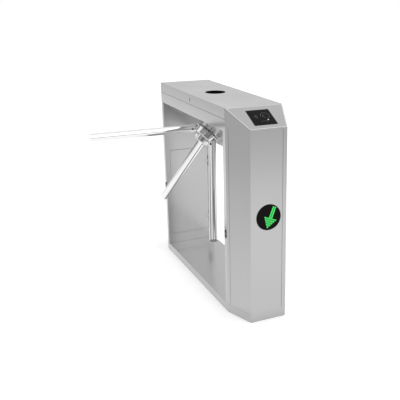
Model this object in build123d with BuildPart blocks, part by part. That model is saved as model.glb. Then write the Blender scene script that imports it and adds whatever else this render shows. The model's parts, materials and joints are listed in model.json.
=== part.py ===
"""Bridge-type tripod turnstile for counting visitors, as separate sub-parts.

Millimetres. +Z is up, Y runs along the cabinet and the arms reach towards -X.
The origin is on the floor, under the middle of the cabinet. The front end is at -Y.
"""

import os
from math import atan2, cos, hypot, pi, radians, sin, sqrt

from build123d import *

os.makedirs("parts", exist_ok=True)

# ---------------------------------------------------------------- cabinet sizes
LENGTH = 1200.0
WIDTH = 280.0
HEIGHT = 980.0
SHEET = 2.0
END_TAPER = 150.0  # length of the tapered sides at each end
END_WIDTH = 178.0  # width of the flat end panel
SLOPE_DROP = 72.0  # how far the sloped top falls towards the end
LEG_STRIP = 27.0  # leg side between the opening and the taper
PLINTH_HEIGHT = 40.0
PLINTH_SHEET = 3.0
PLINTH_CORNER = 8.0
SIDE_HEIGHT = 104.0  # upright side of the beam, lid skirt included
LID_SKIRT = 50.0
BEAM_DEPTH = 290.0  # top of the lid to the underside of the beam
LID_GAP = 2.0  # gap at each end of the lid
LID_SEAM = 1.5  # gap under the lid's skirt
WIRE_HOLE = (110.0, 70.0)  # between the beam and each leg

# ------------------------------------------------------------------- clearances
PANEL_GAP = 1.0  # round a door
SEAT_GAP = 0.2  # round a window, lens or grommet in its cut-out
RUN_GAP = 0.05  # radial, shaft in bearing or pin in knuckle
HINGE_GAP = 0.3  # knuckle to the panel behind it

# ------------------------------------------------------- floor fixing and cables
ANCHOR_THICK = 8.0
ANCHOR_X = 160.0
ANCHOR_INSET = 90.0  # from the end panel to the anchor holes
ANCHOR_HOLE_R = 7.0
ANCHOR_REACH = 145.0  # length of one anchor plate
CABLE_HOLE_R = 25.0
GROMMET_BORE_R = 18.0
GROMMET_LIP = 4.0
FLOOR_OPENING = (170.0, 110.0)  # in the plinth's top, inside each leg

# -------------------------------------------------------- readers and indicators
WINDOW_SIDE = 110.0
WINDOW_FROM_TOP = 86.0  # top of the slope to the window's centre
WINDOW_PROUD = 0.8
WINDOW_LIP = 4.0
READER_BOX = (90.0, 90.0, 18.0)
LENS_R = 60.0
LENS_HEIGHT = 506.0
LENS_LIP = 6.0
LENS_PROUD = 1.0
TOP_DISC_R = 50.0
BOARD_THICK = 1.6
POST_R = 3.0
SCREW_R = 3.5

# ------------------------------------------------------------------ doors, locks
DOOR_MARGIN = 26.0  # leg edge to the door opening
DOOR_LOW = 96.0
DOOR_BELOW_BEAM = 90.0
DOOR_FLANGE = 5.0
LOCK_HEIGHT = 395.0
LOCK_R = 8.0
LOCK_REACH = 36.0
LOCK_PLATE = (18.0, 38.0)
LOCK_PROUD = 2.0
CAM_THICK = 2.0
CAM_WIDTH = 9.0
CAM_LENGTH = 28.0
KEY_SLOT = (1.6, 7.0, 3.0)
PLUG_R = 5.0
LID_LOCK_DROP = 29.0  # top of the lid down to the lid lock
LID_LOCK_REACH = 22.0
KNUCKLE_R = 4.0
PIN_R = 1.5
HINGE_LENGTH = 60.0
LEAF_WIDTH = 20.0
LID_HINGE_PITCH = 300.0
DOOR_HINGE_INSET = 84.0  # door end to the middle of its hinge

# ------------------------------------------------------------------------ tripod
ARM_R = 19.0
ARM_WALL = 1.5
ARM_REACH = 615.0  # where the arm lines meet to the tip
ARM_ROOT = 92.0  # where the arm lines meet to the tube
ARM_CONE = radians(45.0)  # arm to hub axis
ARM_COUNT = 3
APEX_DEPTH = 34.0  # how far behind the slanted face the arm lines meet
HUB_GAP = 4.0
HUB_R = 70.0
HUB_DRUM = 38.0  # slanted face to the outer side of the drum
HUB_FLOOR = 8.0  # slanted face to the floor of the arm slots
HUB_EDGE = 2.5
NOSE_R = 40.0
HUB_THICK = 60.0
TONGUE_WIDTH = 36.0
TONGUE_DEPTH = 34.0
COLLAR_R = 20.5
COLLAR_LENGTH = 6.0
SPIGOT_LENGTH = 40.0
ARM_BOLT_R = 4.0
ARM_BOLT_AT = 110.0
ARM_BOLT_HEAD_R = 5.0
CAP_THICK = 6.0
CAP_R = 32.0

# ------------------------------------------------------------- drive in the beam
SHAFT_R = 12.45
SHAFT_END = 130.0
PLATE_X = 240.0
PLATE_Y = 205.0
PLATE_THICK = 8.0
STUD_X = 200.0
STUD_Y = 165.0
STUD_R = 5.0
HOUSING_R = 36.0
HOUSING_FLANGE_R = 58.0
HOUSING_LENGTH = 70.0
BEARING_R = 26.0
BEARING_WIDTH = 15.0
WHEEL_R = 55.0
WHEEL_NOTCHES = 12
WHEEL_FROM = 80.0
WHEEL_THICK = 10.0
NOTCH = (14.0, 9.0)
MODULE = 2.0
GEAR_TEETH = 48
PINION_TEETH = 16
GEAR_FROM = 98.0
GEAR_THICK = 10.0
BACKLASH = 0.25
DAMPER_R = 26.0
DAMPER_FROM = 114.0
DAMPER_LENGTH = 32.0
DISC_R = 30.0
DISC_FROM = 122.0
DISC_THICK = 2.0
PAWL_ANGLE = 30.0  # pawl tooth to the top of the wheel
PAWL_PIVOT = (50.0, 70.0)  # along and out from the wheel at the pawl tooth
PAWL_WIDTH = 10.0
PAWL_TAIL = 28.0
PAWL_PIN_R = 4.0
TOOTH_WIDTH = 8.0
TOOTH_GAP = 1.5
TOOTH_SHIFT = 2.5  # the tooth swings sideways as it drops in
PLUNGER_AT = 20.0  # from the pawl pivot
PLUNGER_R = 4.0
TIP_R = 2.5
TIP_LENGTH = 6.0
PUSH_GAP = 1.0
COIL = (24.0, 35.0, 30.0)

# ------------------------------------------------------------------- electronics
BOARD_SIZE = (200.0, 130.0)
BOARD_AT = (-230.0, 810.0)
SUPPLY_SIZE = (160.0, 98.0, 42.0)
SUPPLY_AT = (300.0, 760.0)
STANDOFF = 10.0

# ------------------------------------------------------- places that follow these
HALF_L = LENGTH / 2
HALF_W = WIDTH / 2
HALF_E = END_WIDTH / 2
TAPER_Y = HALF_L - END_TAPER
LEG_Y = TAPER_Y - LEG_STRIP
SIDE_Z = HEIGHT - SIDE_HEIGHT
LID_Z = HEIGHT - LID_SKIRT
BEAM_Z = HEIGHT - BEAM_DEPTH
KNEE_X = SIDE_Z - BEAM_Z - HALF_W  # the slanted face falls at 45 degrees
FOOT_X = (KNEE_X - HALF_W) / 2
FOOT_Z = (SIDE_Z + BEAM_Z) / 2
LID_HALF_L = TAPER_Y - LID_GAP
SLOPE_ANGLE = atan2(SLOPE_DROP, END_TAPER)
SLOPE_LENGTH = hypot(SLOPE_DROP, END_TAPER)
DOOR_HALF_W = HALF_W - DOOR_MARGIN
DOOR_HIGH = BEAM_Z - DOOR_BELOW_BEAM
ANCHOR_Y = HALF_L - ANCHOR_INSET

# The slanted face's plane: local x is +Y, local y climbs the face, local z goes inwards.
FACE = Plane(origin=(FOOT_X, 0, FOOT_Z), x_dir=(0, 1, 0), z_dir=(1, 0, 1))
# The front slope's plane: local y climbs the slope from the end, local z points out of it.
SLOPE = Plane(
    origin=(0, -TAPER_Y, HEIGHT),
    x_dir=(1, 0, 0),
    z_dir=(0, -sin(SLOPE_ANGLE), cos(SLOPE_ANGLE)),
)
FRONT = Plane(origin=(0, -HALF_L, 0), x_dir=(1, 0, 0), z_dir=(0, -1, 0))
LEG_FACE = Plane(origin=(0, -LEG_Y, 0), x_dir=(-1, 0, 0), z_dir=(0, 1, 0))
NEAR = Plane(origin=(-HALF_W, 0, 0), x_dir=(0, -1, 0), z_dir=(-1, 0, 0))
FAR = Plane(origin=(HALF_W, 0, 0), x_dir=(0, 1, 0), z_dir=(1, 0, 0))


def write(builder, node):
    """Label a finished sub-part and write it to parts/."""
    builder.part.label = node
    export_step(builder.part, f"parts/{node}.step")


def write_both_ends(builder, name):
    """Write a front piece, and its mirror image as the rear piece."""
    write(builder, f"front_{name}")
    with BuildPart() as rear:
        mirror(builder.part, about=Plane.XZ)
    write(rear, f"rear_{name}")


def leg_outline(side_y):
    """Corners of one tapered end, from side_y out to the end panel."""
    return [
        (-HALF_W, -side_y),
        (-HALF_W, -TAPER_Y),
        (-HALF_E, -HALF_L),
        (HALF_E, -HALF_L),
        (HALF_W, -TAPER_Y),
        (HALF_W, -side_y),
    ]


# ================================================================ plinth and legs
def plinth_outline():
    front = leg_outline(0)[1:5]
    return front + [(-x, -y) for x, y in front]


with BuildPart() as base_plinth:
    with BuildSketch():
        Polygon(*plinth_outline(), align=None)
    extrude(amount=PLINTH_HEIGHT)
    fillet(base_plinth.edges().filter_by(Axis.Z), PLINTH_CORNER)
    with BuildSketch():
        Polygon(*plinth_outline(), align=None)
        offset(amount=-PLINTH_SHEET, kind=Kind.INTERSECTION)
    extrude(amount=PLINTH_HEIGHT - PLINTH_SHEET, mode=Mode.SUBTRACT)
    with BuildSketch(Plane.XY.offset(PLINTH_HEIGHT)):
        with Locations((0, -ANCHOR_Y), (0, ANCHOR_Y)):
            Rectangle(*FLOOR_OPENING)
    extrude(amount=-PLINTH_SHEET, mode=Mode.SUBTRACT)
write(base_plinth, "base_plinth")

with BuildPart() as anchor_plates:
    with BuildSketch():
        Polygon(*plinth_outline(), align=None)
        offset(amount=-PLINTH_SHEET, kind=Kind.INTERSECTION)
        with Locations((0, -ANCHOR_Y), (0, ANCHOR_Y)):
            Rectangle(WIDTH, ANCHOR_REACH, mode=Mode.INTERSECT)
        with GridLocations(ANCHOR_X, 2 * ANCHOR_Y, 2, 2):
            Circle(ANCHOR_HOLE_R, mode=Mode.SUBTRACT)
        with Locations((0, -ANCHOR_Y), (0, ANCHOR_Y)):
            Circle(CABLE_HOLE_R, mode=Mode.SUBTRACT)
    extrude(amount=ANCHOR_THICK)
write(anchor_plates, "anchor_plates")

with BuildPart() as cable_grommets:
    with BuildSketch():
        with Locations((0, -ANCHOR_Y), (0, ANCHOR_Y)):
            Circle(CABLE_HOLE_R - SEAT_GAP)
    extrude(amount=ANCHOR_THICK + GROMMET_LIP)
    with BuildSketch(Plane.XY.offset(ANCHOR_THICK)):
        with Locations((0, -ANCHOR_Y), (0, ANCHOR_Y)):
            Circle(CABLE_HOLE_R + GROMMET_LIP)
    extrude(amount=GROMMET_LIP)
    with BuildSketch():
        with Locations((0, -ANCHOR_Y), (0, ANCHOR_Y)):
            Circle(GROMMET_BORE_R)
    extrude(amount=ANCHOR_THICK + GROMMET_LIP, mode=Mode.SUBTRACT)
write(cable_grommets, "cable_grommets")

with BuildPart() as leg_shell:
    with BuildSketch(Plane.XY.offset(PLINTH_HEIGHT)):
        Polygon(*leg_outline(LEG_Y), align=None)
        offset(amount=-SHEET, kind=Kind.INTERSECTION, mode=Mode.SUBTRACT)
    extrude(amount=HEIGHT - PLINTH_HEIGHT)
    # the slope panel lies on the sloping top edge
    with BuildSketch(SLOPE.offset(-SHEET)):
        with Locations((0, -SLOPE_LENGTH / 2)):
            Rectangle(2 * WIDTH, 2 * SLOPE_LENGTH)
    extrude(amount=HEIGHT, mode=Mode.SUBTRACT)
    # above the leg's sides the beam takes over
    with BuildSketch(Plane.XY.offset(SIDE_Z)):
        with Locations((0, -TAPER_Y / 2)):
            Rectangle(2 * WIDTH, TAPER_Y)
    extrude(amount=HEIGHT, mode=Mode.SUBTRACT)
    with BuildSketch(FRONT):
        with Locations((0, LENS_HEIGHT)):
            Circle(LENS_R + SEAT_GAP)
    extrude(amount=-SHEET, mode=Mode.SUBTRACT)
    with BuildSketch(LEG_FACE):
        with Locations((0, (DOOR_LOW + DOOR_HIGH) / 2)):
            Rectangle(2 * DOOR_HALF_W, DOOR_HIGH - DOOR_LOW)
        # the inside of the beam opens into the leg for its wiring
        with Locations((-KNEE_X, BEAM_Z + SIDE_HEIGHT)):
            Rectangle(WIRE_HOLE[0], WIRE_HOLE[1])
    extrude(amount=-SHEET, mode=Mode.SUBTRACT)
    with BuildSketch(NEAR):
        with Locations((LEG_Y + LEG_STRIP / 2, LOCK_HEIGHT)):
            Circle(LOCK_R)
    extrude(amount=-SHEET, mode=Mode.SUBTRACT)
write_both_ends(leg_shell, "leg_shell")

# ============================================================================ beam
face_inset = SHEET * sqrt(2)
BEAM_OUTSIDE = [
    (-HALF_W, LID_Z),
    (-HALF_W, SIDE_Z),
    (KNEE_X, BEAM_Z),
    (HALF_W, BEAM_Z),
    (HALF_W, LID_Z),
]
BEAM_INSIDE = [
    (HALF_W - SHEET, LID_Z),
    (HALF_W - SHEET, BEAM_Z + SHEET),
    (KNEE_X - SHEET + face_inset, BEAM_Z + SHEET),
    (-HALF_W + SHEET, SIDE_Z - SHEET + face_inset),
    (-HALF_W + SHEET, LID_Z),
]

with BuildPart() as beam_housing:
    with BuildSketch(Plane.XZ):
        Polygon(*BEAM_OUTSIDE, *BEAM_INSIDE, align=None)
    extrude(amount=LEG_Y, both=True)
    # the upright sides run on over the legs as far as the tapers
    with BuildSketch(Plane.XY.offset(SIDE_Z)):
        with Locations((-HALF_W + SHEET / 2, 0), (HALF_W - SHEET / 2, 0)):
            Rectangle(SHEET, 2 * TAPER_Y)
    extrude(amount=LID_Z - SIDE_Z)
    with BuildSketch(FACE):
        Circle(HOUSING_R + 2 * SHEET)
    extrude(amount=SHEET, mode=Mode.SUBTRACT)
write(beam_housing, "beam_housing")

with BuildPart() as slope_panel:
    with BuildSketch(SLOPE):
        Polygon(
            (-HALF_W, 0),
            (-HALF_E, -SLOPE_LENGTH),
            (HALF_E, -SLOPE_LENGTH),
            (HALF_W, 0),
            align=None,
        )
        with Locations((0, -WINDOW_FROM_TOP)):
            Rectangle(WINDOW_SIDE, WINDOW_SIDE, mode=Mode.SUBTRACT)
    extrude(amount=-SHEET)
write_both_ends(slope_panel, "slope_panel")

with BuildPart() as reader_window:
    with BuildSketch(SLOPE.offset(WINDOW_PROUD)):
        with Locations((0, -WINDOW_FROM_TOP)):
            RectangleRounded(WINDOW_SIDE - 2 * SEAT_GAP, WINDOW_SIDE - 2 * SEAT_GAP, 2)
    extrude(amount=-WINDOW_PROUD - SHEET)
    with BuildSketch(SLOPE.offset(-SHEET)):
        with Locations((0, -WINDOW_FROM_TOP)):
            Rectangle(WINDOW_SIDE + 2 * WINDOW_LIP, WINDOW_SIDE + 2 * WINDOW_LIP)
    extrude(amount=-SHEET)
write_both_ends(reader_window, "reader_window")

with BuildPart() as card_readers:
    with BuildSketch(SLOPE.offset(-2 * SHEET)):
        with Locations((0, -WINDOW_FROM_TOP)):
            RectangleRounded(READER_BOX[0], READER_BOX[1], 6)
    extrude(amount=-READER_BOX[2])
    mirror(about=Plane.XZ)
write(card_readers, "card_readers")

with BuildPart() as indicator_lens:
    with BuildSketch(FRONT.offset(LENS_PROUD)):
        with Locations((0, LENS_HEIGHT)):
            Circle(LENS_R)
    extrude(amount=-LENS_PROUD - SHEET)
    with BuildSketch(FRONT.offset(-SHEET)):
        with Locations((0, LENS_HEIGHT)):
            Circle(LENS_R + LENS_LIP)
    extrude(amount=-PLINTH_SHEET)
write_both_ends(indicator_lens, "indicator_lens")

LENS_BACK = SHEET + PLINTH_SHEET
with BuildPart() as indicator_boards:
    with BuildSketch(FRONT.offset(-LENS_BACK)):
        with Locations((0, LENS_HEIGHT)):
            with PolarLocations(LENS_R - 3 * POST_R, 3, 90):
                Circle(POST_R)
    extrude(amount=-STANDOFF)
    with BuildSketch(FRONT.offset(-LENS_BACK - STANDOFF)):
        with Locations((0, LENS_HEIGHT)):
            Circle(LENS_R - POST_R)
    extrude(amount=-BOARD_THICK)
    mirror(about=Plane.XZ)
write(indicator_boards, "indicator_boards")

# ============================================================================= lid
LID_LOCK_Z = HEIGHT - LID_LOCK_DROP
KNUCKLE_THIRD = HINGE_LENGTH / 3
LID_HINGE_Y = [-LID_HINGE_PITCH, 0, LID_HINGE_PITCH]


def hinge_half(plane, axis_at, leaf_dir, ends, bore_r):
    """One leaf of a butt hinge with its knuckles.

    plane's z runs along the hinge pin and its origin is the middle of the hinge. axis_at is
    the pin's place, leaf_dir points from it along the panel, and ends picks the two outer
    knuckles or the middle one. The panel's surface is at local y = 0.
    """
    third = KNUCKLE_THIRD
    spans = [(-1.5, -0.5), (0.5, 1.5)] if ends else [(-0.5, 0.5)]
    for low, high in spans:
        length = (high - low) * third - HINGE_GAP
        with BuildSketch(plane.offset(low * third + HINGE_GAP / 2)) as half:
            with Locations((axis_at[0] + leaf_dir * LEAF_WIDTH / 2, SHEET / 2)):
                Rectangle(LEAF_WIDTH, SHEET)
            with Locations(axis_at):
                Circle(KNUCKLE_R)
                Circle(bore_r, mode=Mode.SUBTRACT)
        extrude(half.sketch, amount=length)


def lid_hinge_plane(y):
    return Plane(origin=(HALF_W, y, LID_Z), x_dir=(0, 0, 1), z_dir=(0, 1, 0))


with BuildPart() as top_lid:
    with BuildSketch(Plane.XY.offset(HEIGHT)):
        Rectangle(WIDTH, 2 * LID_HALF_L)
    extrude(amount=LID_SEAM - LID_SKIRT)
    with BuildSketch(Plane.XY.offset(LID_Z)):
        Rectangle(WIDTH - 2 * SHEET, 2 * (LID_HALF_L - SHEET))
    extrude(amount=LID_SKIRT - SHEET, mode=Mode.SUBTRACT)
    with BuildSketch(Plane.XY.offset(HEIGHT)):
        Circle(TOP_DISC_R + SEAT_GAP)
    extrude(amount=-SHEET, mode=Mode.SUBTRACT)
    with BuildSketch(NEAR):
        with Locations((0, LID_LOCK_Z)):
            Circle(LOCK_R)
    extrude(amount=-SHEET, mode=Mode.SUBTRACT)
    for y in LID_HINGE_Y:
        hinge_half(lid_hinge_plane(y), (0, KNUCKLE_R + HINGE_GAP), 1, False, PIN_R + RUN_GAP)
write(top_lid, "top_lid")

with BuildPart() as lid_hinge_leaves:
    for y in LID_HINGE_Y:
        hinge_half(lid_hinge_plane(y), (0, KNUCKLE_R + HINGE_GAP), -1, True, PIN_R)
write(lid_hinge_leaves, "lid_hinge_leaves")

with BuildPart() as lid_hinge_pins:
    for y in LID_HINGE_Y:
        with BuildSketch(lid_hinge_plane(y)):
            with Locations((0, KNUCKLE_R + HINGE_GAP)):
                Circle(PIN_R)
        extrude(amount=HINGE_LENGTH / 2, both=True)
write(lid_hinge_pins, "lid_hinge_pins")

with BuildPart() as top_disc:
    with BuildSketch(Plane.XY.offset(HEIGHT - SHEET)):
        Circle(TOP_DISC_R)
    extrude(amount=SHEET + WINDOW_PROUD)
    with BuildSketch(Plane.XY.offset(HEIGHT - SHEET)):
        Circle(TOP_DISC_R + LENS_LIP)
    extrude(amount=-SHEET)
    with BuildSketch(Plane.XY.offset(HEIGHT - 2 * SHEET)):
        with PolarLocations(TOP_DISC_R - 3 * POST_R, 3):
            Circle(POST_R)
    extrude(amount=-STANDOFF)
    with BuildSketch(Plane.XY.offset(HEIGHT - 2 * SHEET - STANDOFF)):
        Circle(TOP_DISC_R - POST_R)
    extrude(amount=-BOARD_THICK)
write(top_disc, "top_disc")


# =========================================================================== locks
def lock_barrel(y, z, reach, plate):
    """A lock barrel through the near side, with its plate outside and a bore for the plug."""
    with BuildSketch(NEAR.offset(LOCK_PROUD)) as rim:
        with Locations((-y, z)):
            if plate:
                SlotOverall(plate[1], plate[0], rotation=90)
            else:
                Circle(LOCK_R + LOCK_PROUD)
    extrude(rim.sketch, amount=-LOCK_PROUD)
    with BuildSketch(NEAR) as body:
        with Locations((-y, z)):
            Circle(LOCK_R)
    extrude(body.sketch, amount=-reach)
    with BuildSketch(NEAR.offset(LOCK_PROUD)) as bore:
        with Locations((-y, z)):
            Circle(PLUG_R + RUN_GAP)
    extrude(bore.sketch, amount=-LOCK_PROUD - reach, mode=Mode.SUBTRACT)


def lock_plug(y, z, reach):
    """The turning plug with its key slot, and the tongue on its inner end, pointing up or down."""
    with BuildSketch(NEAR.offset(LOCK_PROUD)) as plug:
        with Locations((-y, z)):
            Circle(PLUG_R)
    extrude(plug.sketch, amount=-LOCK_PROUD - reach)
    with BuildSketch(NEAR.offset(LOCK_PROUD)) as key_slot:
        with Locations((-y, z)):
            Rectangle(KEY_SLOT[0], KEY_SLOT[1])
    extrude(key_slot.sketch, amount=-KEY_SLOT[2], mode=Mode.SUBTRACT)


def lock_tongue(y, z, reach, angle):
    """The flat tongue behind the barrel; the angle is from -Y towards +Z."""
    with BuildSketch(NEAR.offset(-reach)) as tongue:
        with Locations(Location((-y, z, 0), (0, 0, angle))):
            Circle(CAM_WIDTH * 2 / 3)
            Rectangle(CAM_LENGTH, CAM_WIDTH, align=(Align.MIN, Align.CENTER))
    extrude(tongue.sketch, amount=-CAM_THICK)


with BuildPart() as lid_lock_barrel:
    lock_barrel(0, LID_LOCK_Z, LID_LOCK_REACH, None)
write(lid_lock_barrel, "lid_lock_barrel")

with BuildPart() as lid_lock_plug:
    lock_plug(0, LID_LOCK_Z, LID_LOCK_REACH)
    lock_tongue(0, LID_LOCK_Z, LID_LOCK_REACH, -90)
write(lid_lock_plug, "lid_lock_plug")

# The strike stands on the inside of the beam and hooks over the tongue once it lies level.
STRIKE_Y = CAM_LENGTH - 8
STRIKE_X = -HALF_W + LID_LOCK_REACH + 2 * CAM_THICK
with BuildPart() as lid_strike:
    with BuildSketch(Plane.XY.offset(SIDE_Z + STANDOFF)):
        with Locations((STRIKE_X + SHEET, STRIKE_Y)):
            Rectangle(2 * SHEET, STANDOFF)
    extrude(amount=LID_LOCK_Z + CAM_WIDTH - SIDE_Z - STANDOFF)
    with BuildSketch(Plane.XY.offset(LID_LOCK_Z + CAM_WIDTH - SHEET)):
        with Locations((STRIKE_X - 1.5 * SHEET, STRIKE_Y)):
            Rectangle(7 * SHEET, STANDOFF)
    extrude(amount=SHEET)
    # foot back to the side panel, below the lid
    with BuildSketch(Plane.XY.offset(SIDE_Z + STANDOFF)):
        with Locations(((STRIKE_X - HALF_W + SHEET) / 2, STRIKE_Y)):
            Rectangle(STRIKE_X + HALF_W - SHEET, STANDOFF)
    extrude(amount=SHEET)
write(lid_strike, "lid_strike")

LOCK_Y = -LEG_Y - LEG_STRIP / 2
with BuildPart() as door_lock_barrels:
    lock_barrel(LOCK_Y, LOCK_HEIGHT, LOCK_REACH, LOCK_PLATE)
    mirror(about=Plane.XZ)
write(door_lock_barrels, "door_lock_barrels")

with BuildPart() as door_lock_plug:
    lock_plug(LOCK_Y, LOCK_HEIGHT, LOCK_REACH)
    lock_tongue(LOCK_Y, LOCK_HEIGHT, LOCK_REACH, 45)
write_both_ends(door_lock_plug, "door_lock_plug")

# =========================================================================== doors
DOOR_MID_Z = (DOOR_LOW + DOOR_HIGH) / 2
DOOR_AXIS_X = DOOR_HALF_W + KNUCKLE_R
DOOR_HINGE_Z = [DOOR_LOW + DOOR_HINGE_INSET, DOOR_HIGH - DOOR_HINGE_INSET]
KEEPER_X = -HALF_W + LOCK_REACH + 2 * CAM_THICK
KEEPER_Z = LOCK_HEIGHT - CAM_LENGTH + CAM_WIDTH / 2
KEEPER_DEPTH = LEG_STRIP / 2 + CAM_LENGTH - SHEET


def door_hinge_plane(z):
    return Plane(origin=(DOOR_AXIS_X, -LEG_Y, z), x_dir=(-1, 0, 0), z_dir=(0, 0, -1))


def leg_face_hinge(z, leaf_dir, ends, bore_r):
    """The door hinge lies on the leg's face, so its plane's local y points out of it."""
    hinge_half(door_hinge_plane(z), (0, KNUCKLE_R + HINGE_GAP), leaf_dir, ends, bore_r)


with BuildPart() as leg_door:
    with BuildSketch(LEG_FACE):
        with Locations((0, DOOR_MID_Z)):
            Rectangle(2 * (DOOR_HALF_W - PANEL_GAP), DOOR_HIGH - DOOR_LOW - 2 * PANEL_GAP)
    extrude(amount=-DOOR_FLANGE)
    with BuildSketch(LEG_FACE.offset(-SHEET)):
        with Locations((0, DOOR_MID_Z)):
            Rectangle(
                2 * (DOOR_HALF_W - PANEL_GAP - SHEET),
                DOOR_HIGH - DOOR_LOW - 2 * PANEL_GAP - 2 * SHEET,
            )
    extrude(amount=-DOOR_FLANGE, mode=Mode.SUBTRACT)
    # keeper: a web off the door's back, and a lip just beyond the lowered tongue's reach
    with BuildSketch(LEG_FACE.offset(-SHEET)):
        with Locations((-KEEPER_X - SHEET / 2, KEEPER_Z)):
            Rectangle(SHEET, CAM_LENGTH / 2)
    extrude(amount=-KEEPER_DEPTH)
    with BuildSketch(LEG_FACE.offset(-SHEET - KEEPER_DEPTH)):
        with Locations((-KEEPER_X + 2 * CAM_THICK - SHEET, KEEPER_Z)):
            Rectangle(4 * CAM_THICK, CAM_LENGTH / 2)
    extrude(amount=-SHEET)
    for z in DOOR_HINGE_Z:
        leg_face_hinge(z, 1, False, PIN_R + RUN_GAP)
write_both_ends(leg_door, "leg_door")

with BuildPart() as door_hinge_leaves:
    for z in DOOR_HINGE_Z:
        leg_face_hinge(z, -1, True, PIN_R)
    mirror(about=Plane.XZ)
write(door_hinge_leaves, "door_hinge_leaves")

with BuildPart() as door_hinge_pins:
    for z in DOOR_HINGE_Z:
        with BuildSketch(door_hinge_plane(z)):
            with Locations((0, KNUCKLE_R + HINGE_GAP)):
                Circle(PIN_R)
        extrude(amount=HINGE_LENGTH / 2, both=True)
    mirror(about=Plane.XZ)
write(door_hinge_pins, "door_hinge_pins")

# ==================================================================== tripod: arms
APEX = FACE.offset(APEX_DEPTH).origin


def arm_plane(index, distance):
    """Plane across an arm, at a distance from the point where the arm lines meet."""
    turn = 2 * pi * index / ARM_COUNT
    outward = FACE.x_dir * -sin(turn) + FACE.y_dir * cos(turn)
    along = outward * sin(ARM_CONE) - FACE.z_dir * cos(ARM_CONE)
    across = FACE.x_dir * cos(turn) + FACE.y_dir * sin(turn)
    return Plane(origin=APEX + along * distance, x_dir=across, z_dir=along)


def fork_plane(index):
    """Plane in which an arm lies: local x points out from the hub axis, local y away from
    the slanted face, and its origin is on the hub axis at the face."""
    turn = 2 * pi * index / ARM_COUNT
    outward = FACE.x_dir * -sin(turn) + FACE.y_dir * cos(turn)
    across = outward.cross(-FACE.z_dir)
    return Plane(origin=FACE.origin, x_dir=outward, z_dir=across)


def arm_bolt_plane(index):
    """Plane square to the bolt that crosses an arm, through the arm's middle."""
    here = arm_plane(index, ARM_BOLT_AT)
    return Plane(here.origin, x_dir=here.z_dir, z_dir=here.x_dir)



for index in range(ARM_COUNT):
    with BuildPart() as arm_tube:
        with BuildSketch(arm_plane(index, ARM_ROOT)):
            Circle(ARM_R)
            Circle(ARM_R - ARM_WALL, mode=Mode.SUBTRACT)
        extrude(amount=ARM_REACH - CAP_THICK - ARM_ROOT)
        with BuildSketch(arm_bolt_plane(index)):
            Circle(ARM_BOLT_R)
        extrude(amount=2 * ARM_R, both=True, mode=Mode.SUBTRACT)
    write(arm_tube, f"arm_{index + 1}_tube")

    # a block that fills its slot in the hub, a collar, and a spigot inside the tube
    with BuildPart() as arm_knuckle:
        with BuildSketch(arm_plane(index, ARM_ROOT - COLLAR_LENGTH)):
            Rectangle(TONGUE_WIDTH, TONGUE_DEPTH)
        extrude(amount=-ARM_ROOT)
        with BuildSketch(fork_plane(index)):
            with Locations((NOSE_R, 0)):
                Rectangle(2 * ARM_ROOT, 2 * ARM_ROOT, align=(Align.MAX, Align.CENTER))
            Rectangle(4 * ARM_ROOT, HUB_FLOOR, align=(Align.CENTER, Align.MIN))
            Rectangle(4 * ARM_ROOT, ARM_ROOT, align=(Align.CENTER, Align.MAX))
        extrude(amount=TONGUE_WIDTH, both=True, mode=Mode.SUBTRACT)
        with BuildSketch(arm_plane(index, ARM_ROOT - COLLAR_LENGTH)):
            Circle(COLLAR_R)
        extrude(amount=COLLAR_LENGTH)
        with BuildSketch(arm_plane(index, ARM_ROOT)):
            Circle(ARM_R - ARM_WALL)
        extrude(amount=SPIGOT_LENGTH)
        with BuildSketch(arm_bolt_plane(index)):
            Circle(ARM_BOLT_R)
        extrude(amount=2 * ARM_R, both=True, mode=Mode.SUBTRACT)
    write(arm_knuckle, f"arm_{index + 1}_knuckle")

with BuildPart() as arm_end_caps:
    for index in range(ARM_COUNT):
        with BuildSketch(arm_plane(index, ARM_REACH - CAP_THICK)):
            Circle(ARM_R)
        extrude(amount=CAP_THICK)
        with BuildSketch(arm_plane(index, ARM_REACH - CAP_THICK)):
            Circle(ARM_R - ARM_WALL)
        extrude(amount=-2 * CAP_THICK)
write(arm_end_caps, "arm_end_caps")

with BuildPart() as arm_bolts:
    for index in range(ARM_COUNT):
        with BuildSketch(arm_bolt_plane(index)):
            Circle(ARM_BOLT_R)
        extrude(amount=ARM_R + PANEL_GAP, both=True)
        with BuildSketch(arm_bolt_plane(index).offset(ARM_R)):
            Circle(ARM_BOLT_HEAD_R)
            RegularPolygon(ARM_BOLT_R / 2, 6, mode=Mode.SUBTRACT)
        extrude(amount=ARM_BOLT_R / 2)
        with BuildSketch(arm_bolt_plane(index).offset(-ARM_R)):
            Circle(ARM_BOLT_HEAD_R)
            RegularPolygon(ARM_BOLT_R / 2, 6, mode=Mode.SUBTRACT)
        extrude(amount=-ARM_BOLT_R / 2)
write(arm_bolts, "arm_bolts")

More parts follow.
